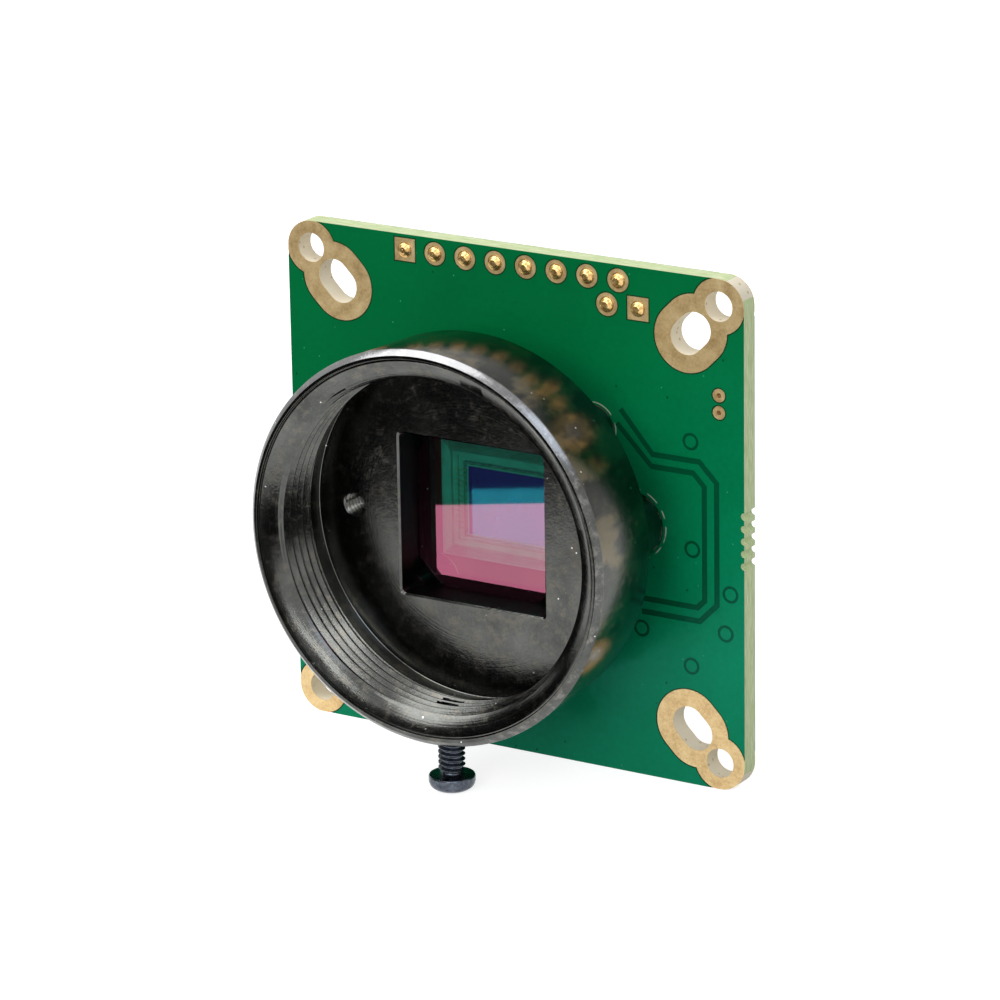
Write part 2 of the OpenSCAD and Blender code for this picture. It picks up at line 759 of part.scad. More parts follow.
// Moulded blocks of the tantalum capacitors, which stand on their end strips
module tantalum_capacitors() {
    inner_len = tantalum_size[0] - 2 * tantalum_strip_t;
    crown_w = tantalum_size[1] - 0.3;
    color("darkorange") stand() for (p = tantalums_at) on_back(p)
        rotate([90, 0, 90]) linear_extrude(inner_len, center = true) polygon([
            [-crown_w / 2, tantalum_strip_t], [crown_w / 2, tantalum_strip_t],
            [tantalum_size[1] / 2, tantalum_size[2] / 2], [crown_w / 2, tantalum_size[2]],
            [-crown_w / 2, tantalum_size[2]], [-tantalum_size[1] / 2, tantalum_size[2] / 2]]);
}

// Folded end strips of the tantalum capacitors
module tantalum_strips() {
    end = tantalum_size[0] / 2;
    rise = tantalum_size[2] / 2;
    color("silver") stand() for (p = tantalums_at) on_back(p)
        for (side = [0, 1]) mirror([side, 0, 0])
            rotate([90, 0, 0]) linear_extrude(tantalum_strip_w, center = true) polygon([
                [end - tantalum_foot, 0], [end, 0], [end, rise], [end - tantalum_strip_t, rise],
                [end - tantalum_strip_t, tantalum_strip_t],
                [end - tantalum_foot, tantalum_strip_t]]);
}

// A chip part: a block with two thicker metal ends
module chip(size) {
    end_len = size[0] * 0.22;
    swell = 0.03;
    translate([-size[0] / 2 + end_len / 2, -size[1] / 2 + swell, 0])
        cube([size[0] - end_len, size[1] - 2 * swell, size[2] - swell]);
    for (side = [0, 1]) mirror([side, 0, 0])
        translate([size[0] / 2 - end_len, -size[1] / 2, 0]) cube([end_len, size[1], size[2]]);
}

module ceramic_capacitors() {
    color("tan") stand() for (p = ceramics_at) on_back(p) chip(ceramic_size);
}

module chip_resistors() {
    color("black") stand() for (p = resistors_at) on_back(p) chip(resistor_size);
}

// Open-topped socket for the cable's plug
module cable_socket() {
    color("ivory") stand() on_back(socket_at) difference() {
        translate([-socket_len / 2, -socket_w / 2, 0]) cube([socket_len, socket_w, socket_t]);
        translate([-socket_len / 2 + socket_wall, -socket_w / 2 + socket_wall, socket_floor_t])
            cube([socket_len - 2 * socket_wall, socket_w - 2 * socket_wall, socket_t]);
        // Two keyways in the wall towards the board's middle
        for (side = [-1, 1])
            translate([side * socket_len * 0.28 - 0.5, socket_w / 2 - socket_wall - past,
                       socket_floor_t])
                cube([1, socket_wall + 2 * past, socket_t]);
        for (i = [0 : socket_count - 1])
            translate([(i - (socket_count - 1) / 2) * socket_pitch - pin_side / 2,
                       -pin_side / 2, -past])
                cube([pin_side, pin_side, socket_floor_t + 2 * past]);
    }
}

// The socket's contact pins
module socket_contacts() {
    color("gold") stand() on_back(socket_at) for (i = [0 : socket_count - 1])
        translate([(i - (socket_count - 1) / 2) * socket_pitch - pin_side / 2, -pin_side / 2, 0])
            cube([pin_side, pin_side, socket_t - socket_wall]);
}

board();
corner_lands();
terminal_lands();
terminal_joints();
test_vias();
lens_mount();
lens_lock_screw();
mount_screws();
ir_filter();
sensor_body();
sensor_die();
sensor_bond_wires();
sensor_cover_glass();
processor_body();
processor_leads();
memory_body();
memory_leads();
crystal_can();
power_inductor();
regulator_bodies();
regulator_leads();
tantalum_capacitors();
tantalum_strips();
ceramic_capacitors();
chip_resistors();
cable_socket();
socket_contacts();
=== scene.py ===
"""Looks of the board camera module: a square green circuit board with gold-plated corner
fixings and a black threaded lens mount over its image sensor.

Shapes are worked out lying down, in millimetres: x to the right, y up the board and h out of
the board towards the lens, with the origin at the centre of the board's front face. stand()
turns them to the model's frame, where the lens looks along -Y.
"""
import json
import math

import bmesh
import bpy
import numpy as np
from mathutils import Matrix, Vector


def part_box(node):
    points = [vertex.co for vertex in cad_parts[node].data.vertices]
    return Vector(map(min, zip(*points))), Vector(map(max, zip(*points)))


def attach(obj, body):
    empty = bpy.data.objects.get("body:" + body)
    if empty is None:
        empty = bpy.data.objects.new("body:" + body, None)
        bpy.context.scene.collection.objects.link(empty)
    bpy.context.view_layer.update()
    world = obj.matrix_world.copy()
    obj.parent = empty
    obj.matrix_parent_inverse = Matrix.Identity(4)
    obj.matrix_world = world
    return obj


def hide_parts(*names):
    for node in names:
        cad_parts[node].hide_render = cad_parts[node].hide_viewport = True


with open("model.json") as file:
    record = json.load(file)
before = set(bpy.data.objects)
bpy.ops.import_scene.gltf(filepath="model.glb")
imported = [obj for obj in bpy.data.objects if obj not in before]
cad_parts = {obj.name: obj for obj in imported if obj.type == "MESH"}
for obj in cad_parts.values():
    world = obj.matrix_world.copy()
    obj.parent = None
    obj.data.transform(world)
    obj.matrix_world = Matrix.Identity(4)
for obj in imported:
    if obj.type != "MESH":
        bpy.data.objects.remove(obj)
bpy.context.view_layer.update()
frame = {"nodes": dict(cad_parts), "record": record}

MM = 0.001


# ---------------------------------------------------------------- sizes, in millimetres
def node_box(node):
    """Lowest and highest corner of a CAD node, in millimetres."""
    low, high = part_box(node)
    return np.array(low) / MM, np.array(high) / MM


board_low, board_high = node_box("board")
mount_low, mount_high = node_box("lens_mount")
HALF = board_high[0]
SIDE = 2 * HALF
BOARD_T = board_high[1]

RIM_R = mount_high[0]
RIM_H = -mount_low[1]
RIM_BEVEL = 0.42
RIM_GROOVE_R = 13.9
THREAD_R = 12.7
THREAD_CREST_R = 12.27
THREAD_PITCH = 25.4 / 32
THREAD_TOP_H = 11.75
THREAD_FOOT_H = 7.55
RELIEF_R = 12.95
FLOOR_H = 5.9
FLOOR_BACK_H = 4.05
WALL_FOOT_R = 14.15
UNDER_BEVEL = 0.95
NECK_R = 9.2
NECK_BORE_R = 8.0
WINDOW_HALF = 6.05
WINDOW_CORNER_R = 0.35
LEDGE_HALF = 5.4
LEDGE_H = 2.7
LEDGE_T = 0.7
FOOT_AT = [(-10.0, 0.0), (10.0, 0.0)]
FOOT_R = 2.5
PEG_FOOT_AT = [(6.7, 6.7), (-6.7, -6.7)]
PEG_FOOT_R = 1.8
PEG_R = 0.7
PEG_LEN = 1.0
SCREW_R = 0.98
SCREW_ROOT_R = 0.74
SCREW_PITCH = 0.4
TAPPED_R = 1.0
TAP_CREST_R = 0.8
HEAD_R = 1.7
HEAD_H = 1.1
RECESS_DEPTH = 0.6
LOCK_H = 9.1
LOCK_TIP_R = 12.8
MOUNT_SCREW_LEN = 5.0
TERMINAL_COUNT = 8
TERMINAL_PITCH = 2.54
TERMINAL_EDGE = 1.15
TERMINAL_PAIR = [(10.5, 15.98), (7.96, 15.98)]
DOME_R = 0.58
DOME_H = 0.34
BARREL_R = 0.5
FIELD_HALF_W = 3.32
FIELD_HALF_H = 2.62
MARKS = ([(at, FOOT_R + 0.16) for at in FOOT_AT] + [(at, PEG_FOOT_R + 0.11) for at in PEG_FOOT_AT])


# ---------------------------------------------------------------- surfaces
def stand(points):
    """From lying (x, y, h) to the model's frame: (x, -h, y)."""
    return np.stack([points[..., 0], -points[..., 2], points[..., 1]], axis=-1)


def behind(points):
    """From (x, y, height above the board's back) to the model's frame."""
    return np.stack([points[..., 0], points[..., 2] + BOARD_T, points[..., 1]], axis=-1)


def grid_faces(rows, columns, close_rows=False, close_columns=True):
    """Quads of a grid of rows x columns points, joined round where it is closed."""
    i = np.arange(rows if close_rows else rows - 1)
    j = np.arange(columns if close_columns else columns - 1)
    i, j = np.meshgrid(i, j, indexing="ij")
    ni, nj = (i + 1) % rows, (j + 1) % columns
    corners = [i * columns + j, i * columns + nj, ni * columns + nj, ni * columns + j]
    return np.stack(corners, axis=-1).reshape(-1, 4)


def new_mesh(name, surfaces):
    """One mesh from several (points, faces) surfaces in millimetres, its doubles at seams and
    poles merged and its faces turned outwards."""
    points = np.concatenate([p.reshape(-1, 3) for p, f in surfaces]) * MM
    starts = np.cumsum([0] + [p.size // 3 for p, f in surfaces])
    faces = np.concatenate([f + start for (p, f), start in zip(surfaces, starts)])
    mesh = bpy.data.meshes.new(name)
    mesh.from_pydata(points.tolist(), [], faces.tolist())
    build = bmesh.new()
    build.from_mesh(mesh)
    bmesh.ops.remove_doubles(build, verts=build.verts, dist=3e-7)
    bmesh.ops.dissolve_degenerate(build, edges=build.edges, dist=1e-8)
    bmesh.ops.recalc_face_normals(build, faces=build.faces)
    build.to_mesh(mesh)
    build.free()
    return mesh


def piece(name, surfaces, finish, node=None, cutters=(), sharp=30.0):
    """One object of the model: its surfaces, less its cutters, with its finish and slot, in
    place of the CAD node it stands for. Edges sharper than the given angle stay crisp."""
    obj = bpy.data.objects.new(name, new_mesh(name, surfaces))
    bpy.context.scene.collection.objects.link(obj)
    for cutter in cutters:
        cut(obj, cutter)
    obj.data.polygons.foreach_set("use_smooth", np.ones(len(obj.data.polygons), bool))
    obj.data.set_sharp_from_angle(angle=math.radians(sharp))
    obj.data.materials.clear()
    obj.data.materials.append(finish)
    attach(obj, "root")
    if node:
        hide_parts(node)
    return obj


def cut(obj, surfaces):
    """Takes the solid inside the given surfaces out of an object."""
    tool = bpy.data.objects.new("cutter", new_mesh("cutter", surfaces))
    bpy.context.scene.collection.objects.link(tool)
    step = obj.modifiers.new("cut", "BOOLEAN")
    step.operation = "DIFFERENCE"
    step.solver = "EXACT"
    step.object = tool
    bpy.context.view_layer.update()
    result = obj.evaluated_get(bpy.context.evaluated_depsgraph_get())
    mesh = bpy.data.meshes.new_from_object(result)
    obj.modifiers.clear()
    old = obj.data
    obj.data = mesh
    bpy.data.meshes.remove(old)
    bpy.data.objects.remove(tool)


def angles(count):
    """Evenly spaced angles once round."""
    return np.arange(count) * (2 * math.pi / count)


def rounded(profile, radius, steps=3):
    """A closed or open (r, h) outline with each inner corner traded for a short arc.

    Each corner is left at the given distance, or a third of its shorter side, and crossed on
    a quadratic curve from one side to the other."""
    p = np.asarray(profile, float)
    before, at, after = p[:-2], p[1:-1], p[2:]
    a, b = before - at, after - at
    la, lb = np.linalg.norm(a, axis=1), np.linalg.norm(b, axis=1)
    reach = np.minimum(radius, np.minimum(la, lb) / 3)[:, None]
    start, end = at + a / la[:, None] * reach, at + b / lb[:, None] * reach
    t = np.linspace(0, 1, steps + 1)[None, :, None]
    curve = (1 - t) ** 2 * start[:, None] + 2 * t * (1 - t) * at[:, None] + t ** 2 * end[:, None]
    return np.concatenate([p[:1], curve.reshape(-1, 2), p[-1:]])


def rings(profile, count):
    """Radius and height arrays, rows x columns, of a round profile."""
    profile = np.asarray(profile, float)
    flat = np.ones((1, count))
    return profile[:, :1] * flat, profile[:, 1:] * flat


def around(r, h, at=(0, 0)):
    """Points (r cos a, r sin a, h) for arrays of radius and height whose columns are angles."""
    a = angles(r.shape[1])
    return np.stack([at[0] + r * np.cos(a), at[1] + r * np.sin(a), h], axis=-1)


def lathe(profile, at=(0, 0), count=96, close=False, turn=stand):
    """A profile of (r, h) points carried round a vertical axis."""
    r, h = rings(profile, count)
    return turn(around(r, h, at)), grid_faces(len(r), count, close_rows=close)


THREAD_PHASE = np.array([0, .08, .25, .42, .45, .5, .55, .58, .75, .92])
THREAD_DEPTH = np.array([0, .02, .5, .93, 1, 1.01, 1, .93, .5, .02])


def thread_rows(foot, top, pitch, root, crest, count, lead=1.0):
    """Rows of points along a helical thread between two heights.

    Row i of a turn with m rows sits at foot - pitch + (i / m + angle / 2 pi) pitch, held
    between foot and top, and its radius lies between root and crest by its place across the
    thread. The crest fades out at both ends on a cone with the given slope."""
    turns = int(np.ceil((top - foot) / pitch)) + 1
    rows = (np.arange(turns)[:, None] + THREAD_PHASE[None]).ravel()
    depth = np.tile(THREAD_DEPTH, turns)
    rows, depth = np.append(rows, turns), np.append(depth, 0)
    h = foot + pitch * (rows[:, None] - 1 + angles(count) / (2 * math.pi))
    h = np.clip(h, foot, top)
    reach = lead * np.minimum(h - foot, top - h) / abs(root - crest)
    r = root + (crest - root) * np.minimum(depth[:, None], reach)
    return r, h


def threaded(before, thread, after, close=False):
    """Stacks the rows before a thread, the thread's and those after it, and the faces of the
    whole. Where the helix comes round once, each of its rows goes on into the row one turn
    higher, so the thread is one unbroken band."""
    r = np.concatenate([before[0], thread[0], after[0]])
    h = np.concatenate([before[1], thread[1], after[1]])
    rows, columns = r.shape
    first, last = len(before[0]), len(before[0]) + len(thread[0]) - 1
    partner = np.arange(rows)
    block = (partner >= first) & (partner <= last)
    partner[block] = np.minimum(partner[block] + len(THREAD_PHASE), last)
    i = np.arange(rows if close else rows - 1)
    ni = (i + 1) % rows
    seam = np.stack([i * columns + columns - 1, partner[i] * columns, partner[ni] * columns,
                     ni * columns + columns - 1], axis=-1)
    faces = grid_faces(rows, columns, close_rows=close, close_columns=False)
    return r, h, np.concatenate([faces, seam])


def square_radius(a, half, corner):
    """Distance from the centre to a square with round corners, at each angle: half / cos a
    along a side, and the far crossing with the corner's circle past its start."""
    c, s = np.abs(np.cos(a)), np.abs(np.sin(a))
    k = half - corner
    along = k * (c + s)
    bend = along + np.sqrt(np.maximum(corner ** 2 - 2 * k ** 2 + along ** 2, 0))
    side = half / np.maximum(c, s)
    return np.where(np.minimum(c, s) * side > k, bend, side)


def square_rings(profile, count, corner):
    """Radius and height arrays of a square profile of (half side, h) points."""
    a = angles(count)
    r = np.stack([square_radius(a, half, corner) for half, h in profile])
    return r, np.array([h for half, h in profile])[:, None] * np.ones((1, count))


def block(low, high, bevel=0.03, steps=2, turn=stand, spin=0.0):
    """A box with round edges: a sphere's grid of points, each octant of it moved out to its
    own corner of the box, with a middle point closing the two flat ends."""
    low, high = np.asarray(low, float), np.asarray(high, float)
    quarter = np.linspace(0, math.pi / 2, steps + 1)
    lon = (np.arange(4)[:, None] * math.pi / 2 + quarter).ravel()
    side = np.repeat(np.arange(4) * math.pi / 2 + math.pi / 4, steps + 1)
    lat = np.concatenate([quarter - math.pi / 2, quarter])[:, None]
    up = np.repeat([-1.0, 1.0], steps + 1)[:, None]
    normal = np.stack(np.broadcast_arrays(np.cos(lat) * np.cos(lon), np.cos(lat) * np.sin(lon),
                                          np.sin(lat)), axis=-1)
    corner = np.stack(np.broadcast_arrays(np.sign(np.cos(side)), np.sign(np.sin(side)), up),
                      axis=-1)
    points = corner * ((high - low) / 2 - bevel) + normal * bevel
    caps = np.zeros((2, 1, len(lon), 3))
    caps[0, ..., 2], caps[1, ..., 2] = points[0, 0, 2], points[-1, 0, 2]
    points = np.concatenate([caps[0], points, caps[1]])
    c, s = math.cos(spin), math.sin(spin)
    x, y = points[..., 0] * c - points[..., 1] * s, points[..., 0] * s + points[..., 1] * c
    points = np.stack([x, y, points[..., 2]], axis=-1) + (low + high) / 2
    return turn(points), grid_faces(len(points), len(lon))


# ---------------------------------------------------------------- the lens mount
def mount_ring():
    """The mount's casting as one closed band: from the square window out over the floor, up
    the thread and the lead-in, over the rim, down the outer wall, in under the floor, down
    the neck and up through the ledge to the window again."""
    count = 480
    a = angles(count)
    window = square_rings([(WINDOW_HALF, LEDGE_H), (WINDOW_HALF, FLOOR_H - 0.14),
                           (WINDOW_HALF + 0.13, FLOOR_H)], count, WINDOW_CORNER_R)
    share = np.array([[0.3], [0.65], [1.0]])
    floor_r = (1 - share) * window[0][-1:] + share * 11.6
    relief = rings(rounded([(12.2, FLOOR_H), (RELIEF_R, FLOOR_H), (RELIEF_R, THREAD_FOOT_H - 0.1),
                            (THREAD_R, THREAD_FOOT_H)], 0.12), count)
    before = (np.concatenate([window[0], floor_r, relief[0]]),
              np.concatenate([window[1], FLOOR_H + 0 * floor_r, relief[1]]))
    thread = thread_rows(THREAD_FOOT_H, THREAD_TOP_H, THREAD_PITCH, THREAD_R, THREAD_CREST_R,
                         count)
    wall = [(THREAD_R, THREAD_TOP_H), (RIM_GROOVE_R - 0.16, RIM_H - 0.16),
            (RIM_GROOVE_R - 0.1, RIM_H - 0.22), (RIM_GROOVE_R + 0.02, RIM_H - 0.22),
            (RIM_GROOVE_R + 0.05, RIM_H - 0.02), (RIM_GROOVE_R + 0.07, RIM_H),
            (RIM_R - RIM_BEVEL, RIM_H), (RIM_R, RIM_H - RIM_BEVEL),
            (WALL_FOOT_R, FLOOR_BACK_H + UNDER_BEVEL),
            (WALL_FOOT_R - UNDER_BEVEL, FLOOR_BACK_H), (NECK_R, FLOOR_BACK_H), (NECK_R, 0),
            (NECK_BORE_R, 0), (NECK_BORE_R, LEDGE_H - LEDGE_T), (7.9, LEDGE_H - LEDGE_T)]
    outer = rings(rounded(wall, 0.035, 2), count)
    ledge = square_rings([(LEDGE_HALF, LEDGE_H - LEDGE_T), (LEDGE_HALF, LEDGE_H)], count,
                         WINDOW_CORNER_R)
    after = (np.concatenate([outer[0], ledge[0]]), np.concatenate([outer[1], ledge[1]]))
    r, h, faces = threaded(before, thread, after, close=True)
    return stand(around(r, h)), faces


def tapped_foot(at):
    """A foot under the floor with its tapped bore: a closed band whose inside is a helical
    thread and whose top end is a countersink in the mount's floor."""
    count = 40
    before = rings([(FOOT_R, FLOOR_BACK_H + 0.3), (FOOT_R, 0.12), (FOOT_R - 0.12, 0),
                    (TAPPED_R, 0)], count)
    thread = thread_rows(0.05, FLOOR_H - 0.25, SCREW_PITCH, TAPPED_R, TAP_CREST_R, count)
    after = rings([(TAPPED_R + 0.03, FLOOR_H - 0.2), (TAPPED_R + 0.03, FLOOR_BACK_H + 0.3)],
                  count)
    r, h, faces = threaded(before, thread, after, close=True)
    return stand(around(r, h, at)), faces


def hole_tool(at, radius, low, high, turn=stand, count=40):
    """A plain round solid, to cut a hole with."""
    return lathe([(0, low), (radius, low), (radius, high), (0, high)], at, count, turn=turn)


def towards_bottom(points):
    """From (x, y, height) about a screw's axis to the mount's lock screw, which lies along the
    model's Z below the rim: height runs out from the lens axis, down the board."""
    return np.stack([points[..., 0], points[..., 1] - LOCK_H, -points[..., 2]], axis=-1)


def pan_screw(tip, seat, turn, at=(0, 0)):
    """A pan-head screw along its own axis from tip to seat, its shank a helical thread and its
    crown a low dome, and the two crossed slots of its recess."""
    count = 48
    crown = HEAD_R * 0.72
    before = rings([(0, tip), (SCREW_ROOT_R - 0.06, tip), (SCREW_ROOT_R, tip + 0.08)], count)
    thread = thread_rows(tip + 0.1, seat - 0.12, SCREW_PITCH, SCREW_ROOT_R, SCREW_R, count, 0.8)
    head = [(SCREW_R - 0.02, seat), (HEAD_R - 0.05, seat), (HEAD_R, seat + 0.08),
            (HEAD_R, seat + HEAD_H * 0.45), (HEAD_R * 0.93, seat + HEAD_H * 0.74),
            (crown, seat + HEAD_H * 0.97), (crown * 0.55, seat + HEAD_H), (0, seat + HEAD_H)]
    after = rings([head[0]] + rounded(head[1:-1], 0.14, 3).tolist() + [head[-1]], count)
    r, h, faces = threaded(before, thread, after)
    top = seat + HEAD_H
    recess = []
    for spin in (0.6, 0.6 + math.pi / 2):
        recess.append(block((at[0] - HEAD_R * .52, at[1] - .16, top - RECESS_DEPTH),
                            (at[0] + HEAD_R * .52, at[1] + .16, top + 0.4), 0.05, 2, turn, spin))
    return (turn(around(r, h, at)), faces), recess


def build_mount(finish):
    """The lens mount with its feet and pegs, and the holes for its screws."""
    surfaces = [mount_ring()]
    cutters = [[hole_tool(at, TAPPED_R, FLOOR_BACK_H - 1, FLOOR_H + 1)] for at in FOOT_AT]
    cutters.append([hole_tool((0, 0), TAPPED_R, RELIEF_R - 0.6, RIM_R + 0.6,
                              turn=towards_bottom)])
    feet = [tapped_foot(at) for at in FOOT_AT]
    for at in PEG_FOOT_AT:
        feet.append(lathe([(0, FLOOR_BACK_H + 0.3), (PEG_FOOT_R, FLOOR_BACK_H + 0.3),
                           (PEG_FOOT_R, 0.1), (PEG_FOOT_R - 0.1, 0), (PEG_R, 0),
                           (PEG_R, 0.1 - PEG_LEN), (PEG_R - 0.1, -PEG_LEN), (0, -PEG_LEN)], at,
                          64))
    piece("mount_casting", surfaces, finish, "lens_mount", cutters)
    piece("mount_feet", feet, finish, "lens_mount")


def build_screws(black, plain):
    """The black lock screw through the mount's wall and the two plain screws from the back."""
    seat = HALF - HEAD_H
    body, recess = pan_screw(LOCK_TIP_R, seat, towards_bottom)
    piece("lock_screw", [body], black, "lens_lock_screw", [recess[:1], recess[1:]])
    for name, at in zip(("mount_screw_left", "mount_screw_right"), FOOT_AT):
        body, recess = pan_screw(-MOUNT_SCREW_LEN, 0, behind, at)
        piece(name, [body], plain, "mount_screws", [recess[:1], recess[1:]])


# ---------------------------------------------------------------- the wire terminals
def solder_joint(at):
    """Solder in a terminal's hole: a round plug with a dome on each face, whose flank runs
    out hollow onto the land and whose crown has sunk a little in the middle."""
    half = [(0, 0.9), (0.1, 0.93), (0.24, 0.99), (0.38, 0.97), (0.52, 0.82), (0.62, 0.6),
            (0.71, 0.38), (0.82, 0.23), (0.92, 0.14), (1.0, 0.1), (1.0, 0.0)]
    front = [(r * DOME_R, h * DOME_H) for r, h in half]
    back = [(r, -BOARD_T - h) for r, h in reversed(front)]
    return lathe(front + [(BARREL_R, 0), (BARREL_R, -BOARD_T)] + back, at, 40)


def build_joints(finish):
    """Every wire terminal's joint: the row along the top edge and the pair below it."""
    first = -(TERMINAL_COUNT - 1) / 2
    row = [((first + i) * TERMINAL_PITCH, HALF - TERMINAL_EDGE) for i in range(TERMINAL_COUNT)]
    joints = [solder_joint(at) for at in row + TERMINAL_PAIR]
    piece("solder_joints", joints, finish, "terminal_joints")


# ---------------------------------------------------------------- finishes
def srgb(red, green, blue):
    """The linear colour of everyday 0 to 255 values."""
    c = np.array([red, green, blue]) / 255
    linear = np.where(c <= 0.04045, c / 12.92, ((c + 0.055) / 1.055) ** 2.4)
    return (*linear.tolist(), 1.0)


class Value:
    """A number that changes over a surface. Sums written on it become Math nodes."""

    def __init__(self, finish, socket):
        self.finish = finish
        self.socket = socket

    def maths(self, operation, *terms):
        node = self.finish.add("ShaderNodeMath", {"operation": operation}, dict(enumerate(terms)))
        return Value(self.finish, node.outputs[0])

    def __add__(self, other):
        return self.maths("ADD", self, other)

    def __sub__(self, other):
        return self.maths("SUBTRACT", self, other)

    def __rsub__(self, other):
        return self.maths("SUBTRACT", other, self)

    def __mul__(self, other):
        return self.maths("MULTIPLY", self, other)

    def __truediv__(self, other):
        return self.maths("DIVIDE", self, other)

    def __pow__(self, other):
        return self.maths("POWER", self, other)

    def __gt__(self, other):
        return self.maths("GREATER_THAN", self, other)

    def __lt__(self, other):
        return self.maths("LESS_THAN", self, other)

    __radd__ = __add__
    __rmul__ = __mul__

    def most(self, other):
        return self.maths("MAXIMUM", self, other)

    def least(self, other):
        return self.maths("MINIMUM", self, other)

    def sine(self):
        return self.maths("SINE", self)

    def size(self):
        return self.maths("ABSOLUTE", self)

    def step(self, low, high, start=0.0, end=1.0):
        """Runs smoothly from start to end as this number goes from low to high."""
        node = self.finish.add("ShaderNodeMapRange", {"interpolation_type": "SMOOTHSTEP"},
                               {0: self, 1: low, 2: high, 3: start, 4: end})
        return Value(self.finish, node.outputs[0])


class Finish:
    """A material: its surface shader with constant sockets, and short ways to add the nodes
    that vary it. Places are read in millimetres of the model's frame."""

    def __init__(self, name, shader="ShaderNodeBsdfPrincipled", **constants):
        self.material = bpy.data.materials.new(name)
        self.material.use_nodes = True
        self.tree = self.material.node_tree
        self.tree.nodes.clear()
        self.out = self.tree.nodes.new("ShaderNodeOutputMaterial")
        self.shader = self.add(shader)
        self.feed(self.out.inputs["Surface"], self.shader.outputs[0])
        for key, value in constants.items():
            self.put(key.replace("_", " ").title(), value)
        self.axes = None

    def add(self, kind, settings=None, values=None):
        """Any node, from its type, its settings, and the values or links of its sockets."""
        node = self.tree.nodes.new(kind)
        for key, value in (settings or {}).items():
            if key == "stops":
                self.set_stops(node.color_ramp, value)
            else:
                setattr(node, key, value)
        for key, value in (values or {}).items():
            self.feed(node.inputs[key], value)
        return node

    def set_stops(self, ramp, stops):
        while len(ramp.elements) < len(stops):
            ramp.elements.new(0.5)
        for element, (place, colour) in zip(ramp.elements, stops):
            element.position = place
            element.color = colour

    def feed(self, socket, value):
        """Links a value or an output to a socket, or sets the socket's own constant."""
        value = value.socket if isinstance(value, Value) else value
        if isinstance(value, bpy.types.NodeSocket):
            self.tree.links.new(value, socket)
        else:
            socket.default_value = value

    def put(self, socket, value):
        """Feeds one of the surface shader's sockets."""
        self.feed(self.shader.inputs[socket], value)

    def place(self):
        """The point's place in millimetres, as a vector and as its x, y and z."""
        if self.axes is None:
            point = self.add("ShaderNodeTexCoord").outputs["Object"]
            scaled = self.add("ShaderNodeVectorMath", {"operation": "SCALE"},
                              {0: point, "Scale": 1 / MM}).outputs[0]
            parts = self.add("ShaderNodeSeparateXYZ", None, {0: scaled})
            self.axes = (scaled, *(Value(self, parts.outputs[i]) for i in range(3)))
        return self.axes

    def stretched(self, x, y, z):
        """The place with each axis multiplied by its own factor."""
        return self.add("ShaderNodeVectorMath", {"operation": "MULTIPLY"},
                        {0: self.place()[0], 1: (x, y, z)}).outputs[0]

    def along(self, x, y, z):
        """A vector made of three numbers."""
        return self.add("ShaderNodeCombineXYZ", None, {0: x, 1: y, 2: z}).outputs[0]

    def noise(self, scale, detail=3.0, roughness=0.5, vector=None):
        """Cloudy numbers from about 0.25 to 0.75, with scale features to a millimetre."""
        node = self.add("ShaderNodeTexNoise", None,
                        {"Vector": vector or self.place()[0], "Scale": scale, "Detail": detail,
                         "Roughness": roughness})
        return Value(self, node.outputs["Fac"])

    def specks(self, scale, size, vector=None):
        """Small round spots, 1 inside, at random places with scale cells to a millimetre."""
        node = self.add("ShaderNodeTexVoronoi", None,
                        {"Vector": vector or self.place()[0], "Scale": scale})
        return Value(self, node.outputs["Distance"]).step(size, size * 0.6)

    def mix(self, share, first, second, blend="MIX"):
        """A colour between two others."""
        node = self.add("ShaderNodeMix", {"data_type": "RGBA", "blend_type": blend},
                        {0: share, 6: first, 7: second})
        return node.outputs[2]

    def ramp(self, value, *stops):
        """A colour along a run of stops."""
        return self.add("ShaderNodeValToRGB", {"stops": stops}, {0: value}).outputs[0]

    def bump(self, height, distance, strength=1.0):
        """Fine relief: the height, 0 to 1, times a distance in millimetres."""
        node = self.add("ShaderNodeBump", None, {"Height": height, "Distance": distance * MM,
                                                 "Strength": strength})
        self.put("Normal", node.outputs[0])


